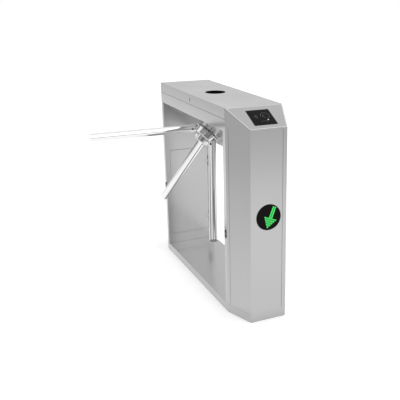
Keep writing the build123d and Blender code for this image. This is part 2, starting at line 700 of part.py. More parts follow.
# ===================================================================== tripod: hub
with BuildPart() as hub:
    with BuildSketch(FACE.offset(-HUB_GAP)):
        Circle(HUB_R)
    extrude(amount=HUB_GAP - HUB_DRUM)
    outer_rim = hub.edges().filter_by(GeomType.CIRCLE).sort_by(Axis((0, 0, 0), (-1, 0, -1)))[-1]
    chamfer(outer_rim, HUB_EDGE)
    with BuildSketch(FACE.offset(-HUB_DRUM)):
        Circle(NOSE_R)
    extrude(amount=HUB_DRUM - HUB_THICK)
    # the slots that the arm blocks stand in, and room for the collars and tubes
    for index in range(ARM_COUNT):
        with BuildSketch(fork_plane(index)):
            with Locations((NOSE_R, HUB_FLOOR)):
                Rectangle(2 * HUB_R, HUB_THICK, align=Align.MIN)
        extrude(amount=TONGUE_WIDTH / 2, both=True, mode=Mode.SUBTRACT)
        with BuildSketch(arm_plane(index, ARM_ROOT - COLLAR_LENGTH - PANEL_GAP)):
            Circle(COLLAR_R + PANEL_GAP)
        extrude(amount=2 * COLLAR_R, mode=Mode.SUBTRACT)
    with BuildSketch(FACE.offset(-HUB_THICK)):
        Circle(SHAFT_R)
    extrude(amount=HUB_THICK, mode=Mode.SUBTRACT)
write(hub, "hub")

with BuildPart() as hub_cap:
    with BuildSketch(FACE.offset(-HUB_THICK)):
        Circle(CAP_R)
    extrude(amount=-CAP_THICK)
    fillet(hub_cap.faces().sort_by(Axis((0, 0, 0), (-1, 0, -1)))[-1].edges(), CAP_THICK * 0.6)
write(hub_cap, "hub_cap")

# =================================================================== tripod: drive
with BuildPart() as main_shaft:
    with BuildSketch(FACE.offset(-HUB_THICK)):
        Circle(SHAFT_R)
    extrude(amount=HUB_THICK + SHAFT_END)
write(main_shaft, "main_shaft")

with BuildPart() as locking_wheel:
    with BuildSketch(FACE.offset(WHEEL_FROM)):
        Circle(WHEEL_R)
        with PolarLocations(WHEEL_R - NOTCH[1], WHEEL_NOTCHES):
            Rectangle(2 * NOTCH[1], NOTCH[0], align=(Align.MIN, Align.CENTER),
                      mode=Mode.SUBTRACT)
    extrude(amount=WHEEL_THICK)
    with BuildSketch(FACE.offset(WHEEL_FROM - BOARD_THICK)):
        Circle(2 * PLUNGER_R + SHAFT_R)
    extrude(amount=WHEEL_THICK + 2 * BOARD_THICK)
    with BuildSketch(FACE.offset(WHEEL_FROM - BOARD_THICK)):
        Circle(SHAFT_R)
    extrude(amount=WHEEL_THICK + 2 * BOARD_THICK, mode=Mode.SUBTRACT)
write(locking_wheel, "locking_wheel")


def gear_points(teeth, turn):
    """Outline of an involute gear of 20 degrees, thinned by the backlash, turned by turn."""
    pitch_r = MODULE * teeth / 2
    base_r = pitch_r * cos(radians(20))
    root_r = pitch_r - 1.25 * MODULE
    tip_r = pitch_r + 0.9 * MODULE
    half_tooth = pi / (2 * teeth) - BACKLASH / (2 * pitch_r)

    def involute(radius):
        angle = sqrt(max((radius / base_r) ** 2 - 1, 0))
        return angle - atan2(angle, 1)

    radii = [max(base_r, root_r) + (tip_r - max(base_r, root_r)) * i / 4 for i in range(5)]
    flank = [(r, half_tooth + involute(pitch_r) - involute(r)) for r in radii]
    points = []
    for tooth in range(teeth):
        middle = turn + 2 * pi * tooth / teeth
        edge = flank[0][1]
        rising = [(root_r, -edge), *[(r, -a) for r, a in flank]]
        falling = [*reversed(flank), (root_r, edge)]
        points += [(r * cos(middle + a), r * sin(middle + a)) for r, a in rising + falling]
    return points


GEAR_CENTRES = MODULE * (GEAR_TEETH + PINION_TEETH) / 2
with BuildPart() as shaft_gear:
    with BuildSketch(FACE.offset(GEAR_FROM)):
        Polygon(*gear_points(GEAR_TEETH, pi / 2), align=None)
        Circle(SHAFT_R, mode=Mode.SUBTRACT)
    extrude(amount=GEAR_THICK)
write(shaft_gear, "shaft_gear")

DAMPER = Plane(
    origin=FACE.origin - FACE.y_dir * GEAR_CENTRES, x_dir=FACE.x_dir, z_dir=FACE.z_dir
)
DAMPER_PIN_R = 5.0
with BuildPart() as damper_pinion:
    with BuildSketch(DAMPER.offset(GEAR_FROM)):
        Polygon(*gear_points(PINION_TEETH, pi / 2 + pi / PINION_TEETH), align=None)
    extrude(amount=GEAR_THICK)
    with BuildSketch(DAMPER.offset(GEAR_FROM)):
        Circle(DAMPER_PIN_R)
    extrude(amount=DAMPER_FROM - GEAR_FROM + DAMPER_LENGTH / 2)
write(damper_pinion, "damper_pinion")

PLATE_BACK = SHEET + PLATE_THICK
DAMPER_FOOT_X = DAMPER_R - 1.5 * DAMPER_PIN_R
DAMPER_FOOT_Y = GEAR_CENTRES / 2 - SHEET
with BuildPart() as damper:
    with BuildSketch(DAMPER.offset(DAMPER_FROM)):
        Circle(DAMPER_R)
    extrude(amount=DAMPER_LENGTH)
    with BuildSketch(DAMPER.offset(DAMPER_FROM - 2 * SHEET)):
        with Locations((0, -DAMPER_FOOT_Y / 2)):
            Rectangle(2 * DAMPER_R + 2 * SHEET, DAMPER_FOOT_Y + DAMPER_R + 2 * SHEET)
    extrude(amount=2 * SHEET)
    with BuildSketch(DAMPER.offset(PLATE_BACK)):
        with Locations((-DAMPER_FOOT_X, -DAMPER_FOOT_Y), (DAMPER_FOOT_X, -DAMPER_FOOT_Y)):
            Circle(DAMPER_PIN_R)
    extrude(amount=DAMPER_FROM - 2 * SHEET - PLATE_BACK)
    with BuildSketch(DAMPER.offset(DAMPER_FROM - 2 * SHEET)):
        Circle(DAMPER_PIN_R + RUN_GAP)
    extrude(amount=2 * SHEET + DAMPER_LENGTH / 2 + RUN_GAP, mode=Mode.SUBTRACT)
write(damper, "damper")

with BuildPart() as counting_disc:
    with BuildSketch(FACE.offset(DISC_FROM)):
        Circle(DISC_R)
        with PolarLocations(DISC_R - 2 * POST_R, 24):
            Rectangle(2 * POST_R, BOARD_THICK, mode=Mode.SUBTRACT)
        Circle(SHAFT_R, mode=Mode.SUBTRACT)
    extrude(amount=DISC_THICK)
write(counting_disc, "counting_disc")

# ============================================================= drive: fixed pieces
with BuildPart() as mechanism_plate:
    with BuildSketch(FACE.offset(SHEET)):
        Rectangle(PLATE_X, PLATE_Y)
        Circle(HOUSING_R, mode=Mode.SUBTRACT)
        with GridLocations(STUD_X, STUD_Y, 2, 2):
            Circle(STUD_R, mode=Mode.SUBTRACT)
    extrude(amount=PLATE_THICK)
write(mechanism_plate, "mechanism_plate")

with BuildPart() as mechanism_studs:
    with BuildSketch(FACE.offset(SHEET)):
        with GridLocations(STUD_X, STUD_Y, 2, 2):
            Circle(STUD_R)
    extrude(amount=PLATE_THICK + 2 * STUD_R)
    with BuildSketch(FACE.offset(PLATE_BACK)):
        with GridLocations(STUD_X, STUD_Y, 2, 2):
            RegularPolygon(2 * STUD_R, 6)
    extrude(amount=1.5 * STUD_R)
write(mechanism_studs, "mechanism_studs")

with BuildPart() as bearing_housing:
    with BuildSketch(FACE.offset(SHEET)):
        Circle(HOUSING_R)
    extrude(amount=HOUSING_LENGTH)
    with BuildSketch(FACE.offset(PLATE_BACK)):
        Circle(HOUSING_FLANGE_R)
        with PolarLocations((HOUSING_FLANGE_R + HOUSING_R) / 2, 4, 45):
            Circle(SCREW_R, mode=Mode.SUBTRACT)
    extrude(amount=PLATE_THICK)
    with BuildSketch(FACE.offset(SHEET)):
        Circle(BEARING_R - 2 * SHEET)
    extrude(amount=HOUSING_LENGTH, mode=Mode.SUBTRACT)
    for start in (SHEET, SHEET + HOUSING_LENGTH - BEARING_WIDTH):
        with BuildSketch(FACE.offset(start)):
            Circle(BEARING_R)
        extrude(amount=BEARING_WIDTH, mode=Mode.SUBTRACT)
write(bearing_housing, "bearing_housing")

with BuildPart() as shaft_bearings:
    for start in (SHEET, SHEET + HOUSING_LENGTH - BEARING_WIDTH):
        with BuildSketch(FACE.offset(start)):
            Circle(BEARING_R)
            Circle(SHAFT_R + RUN_GAP, mode=Mode.SUBTRACT)
        extrude(amount=BEARING_WIDTH)
write(shaft_bearings, "shaft_bearings")

with BuildPart() as counting_sensor:
    arm_y = WHEEL_R + 3 * SHEET + DAMPER_PIN_R
    with BuildSketch(FACE.offset(PLATE_BACK)):
        with Locations((0, arm_y)):
            Rectangle(2 * DAMPER_PIN_R, 2 * DAMPER_PIN_R)
    extrude(amount=DISC_FROM + DISC_THICK + 3 * SHEET - PLATE_BACK)
    with BuildSketch(FACE.offset(DISC_FROM - 3 * SHEET)):
        with Locations((0, DISC_R - 4 * SHEET)):
            Rectangle(2 * DAMPER_PIN_R, arm_y - DISC_R + 4 * SHEET,
                      align=(Align.CENTER, Align.MIN))
    extrude(amount=6 * SHEET + DISC_THICK)
    with BuildSketch(FACE.offset(DISC_FROM - HINGE_GAP - SHEET / 2)):
        Circle(DISC_R + SHEET)
    extrude(amount=DISC_THICK + 2 * HINGE_GAP + SHEET, mode=Mode.SUBTRACT)
write(counting_sensor, "counting_sensor")

# ============================================================== drive: the two pawls
PAWL_FRAME = Plane(
    origin=FACE.offset(WHEEL_FROM).origin,
    x_dir=FACE.x_dir * cos(radians(PAWL_ANGLE)) - FACE.y_dir * sin(radians(PAWL_ANGLE)),
    z_dir=FACE.z_dir,
)
PIVOT_X, PIVOT_Y = PAWL_PIVOT
TOOTH_END = WHEEL_R + TOOTH_GAP
MIRROR_PLANE = Plane(origin=FACE.origin, z_dir=FACE.x_dir)


def write_both_pawls(builder, name):
    """Write a right-hand piece, and its mirror image as the left-hand one."""
    write(builder, f"right_{name}")
    with BuildPart() as left:
        mirror(builder.part, about=MIRROR_PLANE)
    write(left, f"left_{name}")


with BuildPart() as pawl:
    with BuildSketch(PAWL_FRAME):
        with Locations((-TOOTH_SHIFT - TOOTH_WIDTH / 2, PIVOT_Y - PAWL_WIDTH / 2)):
            Rectangle(PIVOT_X + PAWL_TAIL + TOOTH_WIDTH, PAWL_WIDTH, align=Align.MIN)
        with Locations((-TOOTH_SHIFT, TOOTH_END)):
            Rectangle(TOOTH_WIDTH, PIVOT_Y - TOOTH_END, align=(Align.CENTER, Align.MIN))
        with Locations((PIVOT_X, PIVOT_Y)):
            Circle(PAWL_WIDTH - BOARD_THICK)
            Circle(PAWL_PIN_R + RUN_GAP, mode=Mode.SUBTRACT)
    extrude(amount=WHEEL_THICK)
write_both_pawls(pawl, "pawl")

with BuildPart() as pawl_pins:
    with BuildSketch(PAWL_FRAME.offset(PLATE_BACK - WHEEL_FROM)):
        with Locations((PIVOT_X, PIVOT_Y)):
            Circle(PAWL_PIN_R)
    extrude(amount=WHEEL_FROM + WHEEL_THICK + PAWL_PIN_R - PLATE_BACK)
    with BuildSketch(PAWL_FRAME.offset(PLATE_BACK - WHEEL_FROM)):
        with Locations((PIVOT_X, PIVOT_Y)):
            Circle(2 * PAWL_PIN_R)
    extrude(amount=WHEEL_FROM - PLATE_BACK - HINGE_GAP)
    mirror(about=MIRROR_PLANE)
write(pawl_pins, "pawl_pins")

PLUNGER_X = PIVOT_X + PLUNGER_AT
COIL_TOP = PIVOT_Y - PAWL_WIDTH / 2 - PUSH_GAP - TIP_LENGTH - 2 * PUSH_GAP
STROKE_ROOM = 4 * PUSH_GAP
PLUNGER_FRAME = Plane(
    origin=PAWL_FRAME.offset(WHEEL_THICK / 2).from_local_coords((PLUNGER_X, COIL_TOP, 0)),
    x_dir=PAWL_FRAME.x_dir,
    z_dir=PAWL_FRAME.y_dir,
)
with BuildPart() as solenoid:
    with BuildSketch(PLUNGER_FRAME):
        Rectangle(COIL[0], COIL[2])
    extrude(amount=-COIL[1])
    # foot down to the mechanism plate
    with BuildSketch(PAWL_FRAME.offset(PLATE_BACK - WHEEL_FROM)):
        with Locations((PLUNGER_X, COIL_TOP - COIL[1] / 2)):
            Rectangle(COIL[0], COIL[1] / 2)
    extrude(amount=WHEEL_FROM + WHEEL_THICK / 2 - COIL[2] / 2 - PLATE_BACK)
    with BuildSketch(PLUNGER_FRAME):
        Circle(PLUNGER_R + RUN_GAP)
    extrude(amount=-COIL[1] + STROKE_ROOM, mode=Mode.SUBTRACT)
write_both_pawls(solenoid, "solenoid")

with BuildPart() as plunger:
    with BuildSketch(PLUNGER_FRAME.offset(2 * PUSH_GAP)):
        Circle(PLUNGER_R)
    extrude(amount=-COIL[1] + STROKE_ROOM)
    with BuildSketch(PLUNGER_FRAME.offset(2 * PUSH_GAP)):
        Circle(TIP_R)
    extrude(amount=TIP_LENGTH)
write_both_pawls(plunger, "plunger")

# ===================================================================== electronics
with BuildPart() as controller_board:
    with BuildSketch(FAR.offset(-SHEET)):
        with Locations(BOARD_AT):
            with GridLocations(BOARD_SIZE[0] - STANDOFF, BOARD_SIZE[1] - STANDOFF, 2, 2):
                Circle(POST_R)
    extrude(amount=-STANDOFF)
    with BuildSketch(FAR.offset(-SHEET - STANDOFF)):
        with Locations(BOARD_AT):
            Rectangle(*BOARD_SIZE)
    extrude(amount=-BOARD_THICK)
    with BuildSketch(FAR.offset(-SHEET - STANDOFF - BOARD_THICK)):
        with Locations((BOARD_AT[0], BOARD_AT[1] + BOARD_SIZE[1] / 3)):
            Rectangle(BOARD_SIZE[0] * 0.7, 2 * STANDOFF)
        with Locations((BOARD_AT[0] - BOARD_SIZE[0] / 5, BOARD_AT[1])):
            Rectangle(3 * STANDOFF, 3 * STANDOFF)
    extrude(amount=-STANDOFF)
write(controller_board, "controller_board")

with BuildPart() as power_supply:
    with BuildSketch(FAR.offset(-SHEET)):
        with Locations(SUPPLY_AT):
            Rectangle(SUPPLY_SIZE[0], SUPPLY_SIZE[1])
    extrude(amount=-SUPPLY_SIZE[2])
    with BuildSketch(FAR.offset(-SHEET - SUPPLY_SIZE[2])):
        with Locations((SUPPLY_AT[0] - SUPPLY_SIZE[0] / 2 + STANDOFF, SUPPLY_AT[1])):
            Rectangle(2 * STANDOFF, SUPPLY_SIZE[1] - STANDOFF)
    extrude(amount=STANDOFF, mode=Mode.SUBTRACT)
write(power_supply, "power_supply")
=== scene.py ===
"""Looks for the bridge tripod turnstile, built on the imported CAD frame. Metres, +Z up.

Y runs along the cabinet, its front end is at -Y and the arms reach towards -X.
"""

import json
import math

import bmesh
import bpy
from mathutils import Matrix, Vector


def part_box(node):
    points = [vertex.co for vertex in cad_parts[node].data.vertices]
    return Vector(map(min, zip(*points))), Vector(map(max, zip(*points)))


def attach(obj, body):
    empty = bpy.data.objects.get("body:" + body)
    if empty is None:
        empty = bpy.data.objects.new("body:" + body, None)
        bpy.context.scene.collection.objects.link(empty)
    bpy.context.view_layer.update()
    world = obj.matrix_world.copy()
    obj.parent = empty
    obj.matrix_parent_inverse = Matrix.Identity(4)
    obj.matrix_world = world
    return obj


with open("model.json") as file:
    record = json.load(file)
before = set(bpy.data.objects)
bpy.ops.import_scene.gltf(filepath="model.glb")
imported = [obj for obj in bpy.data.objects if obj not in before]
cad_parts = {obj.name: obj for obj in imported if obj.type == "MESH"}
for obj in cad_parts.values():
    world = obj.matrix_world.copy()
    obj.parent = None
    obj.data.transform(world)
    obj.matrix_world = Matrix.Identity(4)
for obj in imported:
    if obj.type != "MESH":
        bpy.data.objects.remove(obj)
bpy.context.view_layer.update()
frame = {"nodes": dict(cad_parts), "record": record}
nodes = frame["nodes"]

# ---------------------------------------------------------------- sizes and places
ENDS = {"front": -1, "rear": 1}  # name of each end, and its side of the middle
SIDES = {"near": -1, "far": 1}  # name of each long side, and its side of the middle
HALF_LENGTH = 0.600
HALF_WIDTH = 0.140
TOP = 0.980
TAPER_LENGTH = 0.150  # of the tapered sides and of the sloped top
TAPER_DEPTH = 0.051  # how far a side comes in over the taper
SLOPE_DROP = 0.072

SEAM_FOOT, SEAM_HEAD = 0.05, 0.90  # heights between which the leg seams run
PANEL_SEAM_X = 0.069
PANEL_SEAM_WIDTH = 0.0016
TAPER_SEAM_INSET = 0.020  # along the tapered side, from where it starts
TAPER_SEAM_WIDTH = 0.0014
SEAM_RISE = 0.00012
# sizes of the painted edge highlights: thin bright strips along the folded edges of the sloped tops
EDGE_WIDTH = 0.0034
EDGE_INSET = 0.0018  # down or up the slope
EDGE_SIDE_INSET = 0.0020
EDGE_RISE = 0.0001
EDGE_HIGH_HALF = HALF_WIDTH - 0.001  # half the length of the upper edge line
EDGE_LOW_HALF = HALF_WIDTH - TAPER_DEPTH - 0.0005

# the arrow on an indicator, from its centre; x is to the right of someone facing it
ARROW_TAIL = Vector((0.029, 0.046))
ARROW_NECK = Vector((0.009, -0.006))
ARROW_TIP = Vector((-0.009, -0.052))
SHAFT_HALF = 0.0085
HEAD_HALF = 0.033
PLATE_BACK, PLATE_FACE = -0.0004, 0.00003
LED_RADIUS = 0.0030
LED_BASE = 0.00004
LED_RISE = 0.00004
LED_PITCH = 0.0085
LED_MARGIN = 0.0035  # from the head's slanted sides
SHAFT_LED_HALF = 0.0053  # half the gap between the shaft's two columns
SHAFT_LED_ROWS = 8
HEAD_LED_ROWS = 5

# the print on a reader window, from its centre
PRINT_BACK, PRINT_FACE = -0.0002, 0.0001
# centre, radius, line width, start and sweep in degrees, steps
PRINT_ARCS = [
    ((-0.036, 0.006), 0.008, 0.0014, -48.0, 96.0, 12),
    ((-0.036, 0.006), 0.013, 0.0014, -48.0, 96.0, 12),
    ((-0.036, 0.006), 0.018, 0.0014, -48.0, 96.0, 12),
    ((0.020, 0.010), 0.021, 0.0018, -60.0, 250.0, 26),
    ((0.016, 0.004), 0.010, 0.0018, 60.0, 230.0, 16),
]
DASH_COUNT = 3
DASH_START = (-0.012, -0.030)
DASH_PITCH = 0.013
DASH_SIZE = (0.008, 0.0025)
READER_LAMP_AT = (0.024, -0.020, 0.0)
READER_LAMP_RADIUS = 0.0035
READER_LAMP_RISE = 0.0008


# ------------------------------------------------------------------ material tools
class Nodes:
    """Short calls to add nodes to an emptied node tree."""

    def __init__(self, tree):
        self.tree = tree
        tree.nodes.clear()

    def feed(self, socket, value):
        if isinstance(value, bpy.types.NodeSocket):
            self.tree.links.new(value, socket)
        else:
            socket.default_value = value

    def new(self, kind, **inputs):
        made = self.tree.nodes.new(kind)
        for key, value in inputs.items():
            self.feed(made.inputs[key.replace("_", " ")], value)
        return made

    def maths(self, operation, *values):
        made = self.tree.nodes.new("ShaderNodeMath")
        made.operation = operation
        for socket, value in zip(made.inputs, values):
            self.feed(socket, value)
        return made.outputs[0]

    def remap(self, value, low, high, to_low, to_high):
        made = self.new(
            "ShaderNodeMapRange",
            Value=value,
            From_Min=low,
            From_Max=high,
            To_Min=to_low,
            To_Max=to_high,
        )
        return made.outputs["Result"]

    def levels(self, value, stops):
        """Grey level by value, from a list of (value, level)."""
        made = self.new("ShaderNodeValToRGB")
        self.feed(made.inputs[0], value)
        elements = made.color_ramp.elements
        while len(elements) < len(stops):
            elements.new(0.5)
        for element, (at, level) in zip(elements, stops):
            element.position = at
            element.color = (level, level, level, 1)
        return made.outputs[0]

    def seen_by_camera(self, seen, other):
        """Mix two shaders: one for what the camera sees, one for what lights the object."""
        path = self.new("ShaderNodeLightPath")
        mix = self.new("ShaderNodeMixShader")
        self.feed(mix.inputs[0], path.outputs["Is Camera Ray"])
        self.feed(mix.inputs[1], other)
        self.feed(mix.inputs[2], seen)
        return mix.outputs[0]


class Look(Nodes):
    """A new material in object coordinates, with one principled shader."""

    def __init__(self, name):
        self.mat = bpy.data.materials.new(name)
        self.mat.use_nodes = True
        super().__init__(self.mat.node_tree)
        self.out = self.new("ShaderNodeOutputMaterial")
        self.shader = self.new("ShaderNodeBsdfPrincipled")
        self.feed(self.out.inputs["Surface"], self.shader.outputs[0])
        self.coord = self.new("ShaderNodeTexCoord").outputs["Object"]

    def set(self, **inputs):
        for key, value in inputs.items():
            self.feed(self.shader.inputs[key.replace("_", " ")], value)

    def noise(self, scale, detail, rough, seed):
        mapping = self.new("ShaderNodeMapping", Vector=self.coord, Scale=scale)
        made = self.tree.nodes.new("ShaderNodeTexNoise")
        made.noise_dimensions = "4D"
        self.feed(made.inputs["Vector"], mapping.outputs[0])
        made.inputs["W"].default_value = seed
        made.inputs["Scale"].default_value = 1.0
        made.inputs["Detail"].default_value = detail
        made.inputs["Roughness"].default_value = rough
        return made.outputs["Fac"]

    def even_noise(self, size, detail, rough, seed):
        return self.noise((size, size, size), detail, rough, seed)

    def tint(self, low, high, factor):
        made = self.tree.nodes.new("ShaderNodeMix")
        made.data_type = "RGBA"
        made.inputs["A"].default_value = (*low, 1)
        made.inputs["B"].default_value = (*high, 1)
        self.feed(made.inputs["Factor"], factor)
        return made.outputs["Result"]

    def bump(self, height, strength, distance, edge=0.0):
        """Relief from a height; edge is the radius to which corners look rounded."""
        made = self.new("ShaderNodeBump", Height=height, Strength=strength, Distance=distance)
        if edge:
            soft = self.new("ShaderNodeBevel", Radius=edge)
            soft.samples = 4
            self.feed(made.inputs["Normal"], soft.outputs[0])
        self.feed(self.shader.inputs["Normal"], made.outputs[0])


def times(shade, factor):
    """A lighter or darker shade."""
    return [min(1.0, value * factor) for value in shade]


def brushed(name, grain, shade, rough):
    """Brushed stainless sheet. grain is the axis that the brush lines run along."""
    look = Look(name)
    fine = [1400.0, 1400.0, 1400.0]
    fine["XYZ".index(grain)] = 9.0
    lines = look.noise(fine, detail=4.0, rough=0.6, seed=1.0)
    coarse = [160.0, 160.0, 160.0]
    coarse["XYZ".index(grain)] = 2.2
    bands = look.noise(coarse, detail=2.0, rough=0.5, seed=5.0)
    cloud = look.even_noise(3.0, detail=3.0, rough=0.5, seed=9.0)
    mixed = look.maths("ADD", look.maths("MULTIPLY", lines, 0.65), look.maths("MULTIPLY", bands, 0.35))
    contrast = look.remap(mixed, 0.35, 0.65, 0.0, 1.0)
    look.set(Base_Color=look.tint(times(shade, 0.985), times(shade, 1.015), contrast), Metallic=1.0)
    base = look.remap(mixed, 0.3, 0.7, rough - 0.02, rough + 0.02)
    wipes = look.remap(cloud, 0.3, 0.7, -0.025, 0.03)
    look.set(Roughness=look.maths("ADD", base, wipes))
    look.bump(lines, 0.035, 0.0002, edge=0.0030)
    return look.mat


def polished(name, shade, rough):
    """Polished stainless tube: faint lengthwise lines, wipe marks and handling haze."""
    look = Look(name)
    haze = look.even_noise(14.0, detail=4.0, rough=0.6, seed=2.0)
    scratch = look.noise((900.0, 60.0, 60.0), detail=3.0, rough=0.6, seed=4.0)
    look.set(Base_Color=look.tint(times(shade, 0.94), shade, haze), Metallic=1.0)
    base = look.remap(haze, 0.35, 0.7, rough, rough + 0.05)
    marks = look.remap(scratch, 0.4, 0.7, 0.0, 0.03)
    look.set(Roughness=look.maths("ADD", base, marks))
    look.bump(scratch, 0.04, 0.0001)
    return look.mat


def machined(name, shade, rough, seed=0.0):
    """Turned or ground steel with small tool marks."""
    look = Look(name)
    marks = look.even_noise(700.0, detail=3.0, rough=0.6, seed=seed)
    cloud = look.even_noise(40.0, detail=3.0, rough=0.5, seed=seed + 3.0)
    look.set(Base_Color=look.tint(times(shade, 0.9), shade, cloud), Metallic=1.0)
    look.set(Roughness=look.remap(marks, 0.3, 0.7, rough - 0.05, rough + 0.07))
    look.bump(marks, 0.08, 0.0001, edge=0.0006)
    return look.mat


def plastic(name, shade, rough, grain=0.15, size=900.0, shine=0.5):
    """Moulded plastic with a fine spark-eroded grain."""
    look = Look(name)
    pores = look.even_noise(size, detail=2.0, rough=0.5, seed=7.0)
    cloud = look.even_noise(25.0, detail=3.0, rough=0.5, seed=3.0)
    look.set(Base_Color=look.tint(times(shade, 0.85), times(shade, 1.1), cloud))
    look.set(Roughness=look.remap(cloud, 0.3, 0.7, rough - 0.03, rough + 0.04))
    look.set(Specular_IOR_Level=shine)
    look.bump(pores, grain, 0.0001)
    return look.mat


def lit(name, shade, strength):
    """Lit LED plastic, a little uneven in brightness."""
    look = Look(name)
    cloud = look.even_noise(180.0, detail=2.0, rough=0.5, seed=1.0)
    look.set(Base_Color=look.tint(times(shade, 0.6), shade, cloud), Roughness=0.35)
    look.set(Emission_Color=look.tint(times(shade, 0.75), shade, cloud), Emission_Strength=strength)
    return look.mat


# ----------------------------------------------------------------------- materials
STEEL = (0.52, 0.52, 0.523)
steel_z = brushed("steel_grain_z", "Z", STEEL, rough=0.20)
steel_y = brushed("steel_grain_y", "Y", STEEL, rough=0.18)
steel_x = brushed("steel_grain_x", "X", STEEL, rough=0.18)
hub_steel = machined("hub_steel", (0.90, 0.90, 0.905), rough=0.07)
knuckle_steel = machined("knuckle_steel", (0.62, 0.62, 0.625), rough=0.20, seed=4.0)
arm_chrome = polished("arm_chrome", (0.97, 0.97, 0.975), rough=0.02)
# painted highlight: a bright metal colour for thin strips that stand in for light caught along the
# slopes' folded edges
painted_edge_highlight = machined("painted_edge_highlight", (0.90, 0.90, 0.905), rough=0.22, seed=20.0)
lock_metal = machined("lock_metal", (0.62, 0.62, 0.63), rough=0.22, seed=8.0)
zinc = machined("zinc_plate", (0.55, 0.56, 0.57), rough=0.35, seed=12.0)
bright = machined("bright_steel", (0.66, 0.66, 0.67), rough=0.25, seed=16.0)
lock_dark = plastic("lock_dark", (0.03, 0.03, 0.033), rough=0.35, grain=0.1)
smoked = plastic("smoked_acrylic", (0.003, 0.003, 0.0035), 0.12, grain=0.02, size=300.0, shine=0.08)
disc_black = plastic("disc_black", (0.004, 0.004, 0.0045), 0.40, grain=0.03, size=300.0, shine=0.0)
lens_black = plastic("lens_black", (0.014, 0.012, 0.013), 0.30, grain=0.03, size=300.0, shine=0.0)
black_plastic = plastic("black_plastic", (0.03, 0.03, 0.032), rough=0.5, grain=0.25)
board_green = plastic("board_lacquer", (0.02, 0.16, 0.07), rough=0.3, grain=0.05)
coil_paint = plastic("coil_enamel", (0.05, 0.06, 0.09), rough=0.35, grain=0.1)
print_grey = plastic("icon_print", (0.10, 0.10, 0.102), rough=0.3, grain=0.05)
seam_dark = plastic("seam_shadow", (0.10, 0.10, 0.10), rough=0.6, grain=0.1)
led_plate = lit("led_green", (0.006, 0.20, 0.03), strength=0.7)
lamp_white = lit("lamp_white", (0.55, 0.57, 0.56), strength=0.7)
led_core = lit("led_core", (0.03, 0.74, 0.10), strength=1.0)

by_slot = {
    "hub_steel": hub_steel,
    "arm_chrome": arm_chrome,
    "knuckle": knuckle_steel,
    "dark_window": smoked,
    "lens": lens_black,
    "black_plastic": black_plastic,
    "board": board_green,
    "zinc": zinc,
    "bright_steel": bright,
    "lock_metal": lock_metal,
    "lock_dark": lock_dark,
    "coil": coil_paint,
    "steel": steel_z,
}
# nodes that differ from their slot: the grain's direction, a duller disc, blackened bolts
by_node = {
    "beam_housing": steel_y,
    "top_lid": steel_y,
    "base_plinth": steel_y,
    "front_slope_panel": steel_x,
    "rear_slope_panel": steel_x,
    "top_disc": disc_black,
    "arm_bolts": lock_dark,
}
for part in frame["record"]["subparts"]:
    slots = nodes[part["node"]].data.materials
    slots.clear()
    slots.append(by_node.get(part["node"], by_slot[part["material_slot"]]))


# ---------------------------------------------------------------------- mesh tools
def place(name, bm, matrix, look, smooth=False):
    """Turn a built mesh into a piece that rides the cabinet."""
    bmesh.ops.transform(bm, matrix=matrix, verts=bm.verts)
    bmesh.ops.recalc_face_normals(bm, faces=bm.faces)
    mesh = bpy.data.meshes.new(name)
    bm.to_mesh(mesh)
    bm.free()
    mesh.materials.append(look)
    for polygon in mesh.polygons:
        polygon.use_smooth = smooth
    piece = bpy.data.objects.new(name, mesh)
    bpy.context.scene.collection.objects.link(piece)
    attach(piece, "cabinet")


def frame_matrix(origin, x_axis, z_axis):
    """Matrix that moves a piece drawn about zero to its origin and axes."""
    x, z = Vector(x_axis).normalized(), Vector(z_axis).normalized()
    y = z.cross(x)
    return Matrix.Translation(Vector(origin)) @ Matrix((x, y, z)).transposed().to_4x4()


def prism(bm, outline, low, high):
    """A flat outline raised from low to high."""
    bottom = [bm.verts.new((x, y, low)) for x, y in outline]
    top = [bm.verts.new((x, y, high)) for x, y in outline]
    bm.faces.new(top)
    bm.faces.new(list(reversed(bottom)))
    for i in range(len(outline)):
        j = (i + 1) % len(outline)
        bm.faces.new((bottom[i], bottom[j], top[j], top[i]))


def rectangle(low, size):
    (x, y), (width, height) = low, size
    return [(x, y), (x + width, y), (x + width, y + height), (x, y + height)]


def dome(bm, centre, radius, height, rings=3, around=12):
    """A round cap, open underneath."""
    middle = Vector(centre)
    top = bm.verts.new(middle + Vector((0, 0, height)))
    last = [top] * around
    for ring in range(1, rings + 1):
        tilt = math.pi / 2 * ring / rings
        row = []
        for k in range(around):
            turn = 2 * math.pi * k / around
            out = radius * math.sin(tilt)
            step = Vector((out * math.cos(turn), out * math.sin(turn), height * math.cos(tilt)))
            row.append(bm.verts.new(middle + step))
        for k in range(around):
            j = (k + 1) % around
            corners = (top, row[k], row[j]) if ring == 1 else (last[k], row[k], row[j], last[j])
            bm.faces.new(corners)
        last = row


def arc(bm, centre, radius, width, start, sweep, steps, low, high):
    """A flat arc with closed ends, raised from low to high."""
    inner = radius - width
    section = ((inner, low), (inner, high), (radius, high), (radius, low))
    rows = []
    for k in range(steps + 1):
        angle = math.radians(start + sweep * k / steps)
        x, y = math.cos(angle), math.sin(angle)
        rows.append([bm.verts.new((centre[0] + r * x, centre[1] + r * y, z)) for r, z in section])
    for one, two in zip(rows, rows[1:]):
        for i in range(4):
            j = (i + 1) % 4
            bm.faces.new((one[i], one[j], two[j], two[i]))
    bm.faces.new(rows[0])
    bm.faces.new(list(reversed(rows[-1])))


def strip(name, start, end, out, width, rise, look):
    """A thin line along a sheet that faces out."""
    length = (end - start).length
    bm = bmesh.new()
    prism(bm, rectangle((-length / 2, -width / 2), (length, width)), -rise, rise)
    place(name, bm, frame_matrix((start + end) / 2, end - start, out), look)


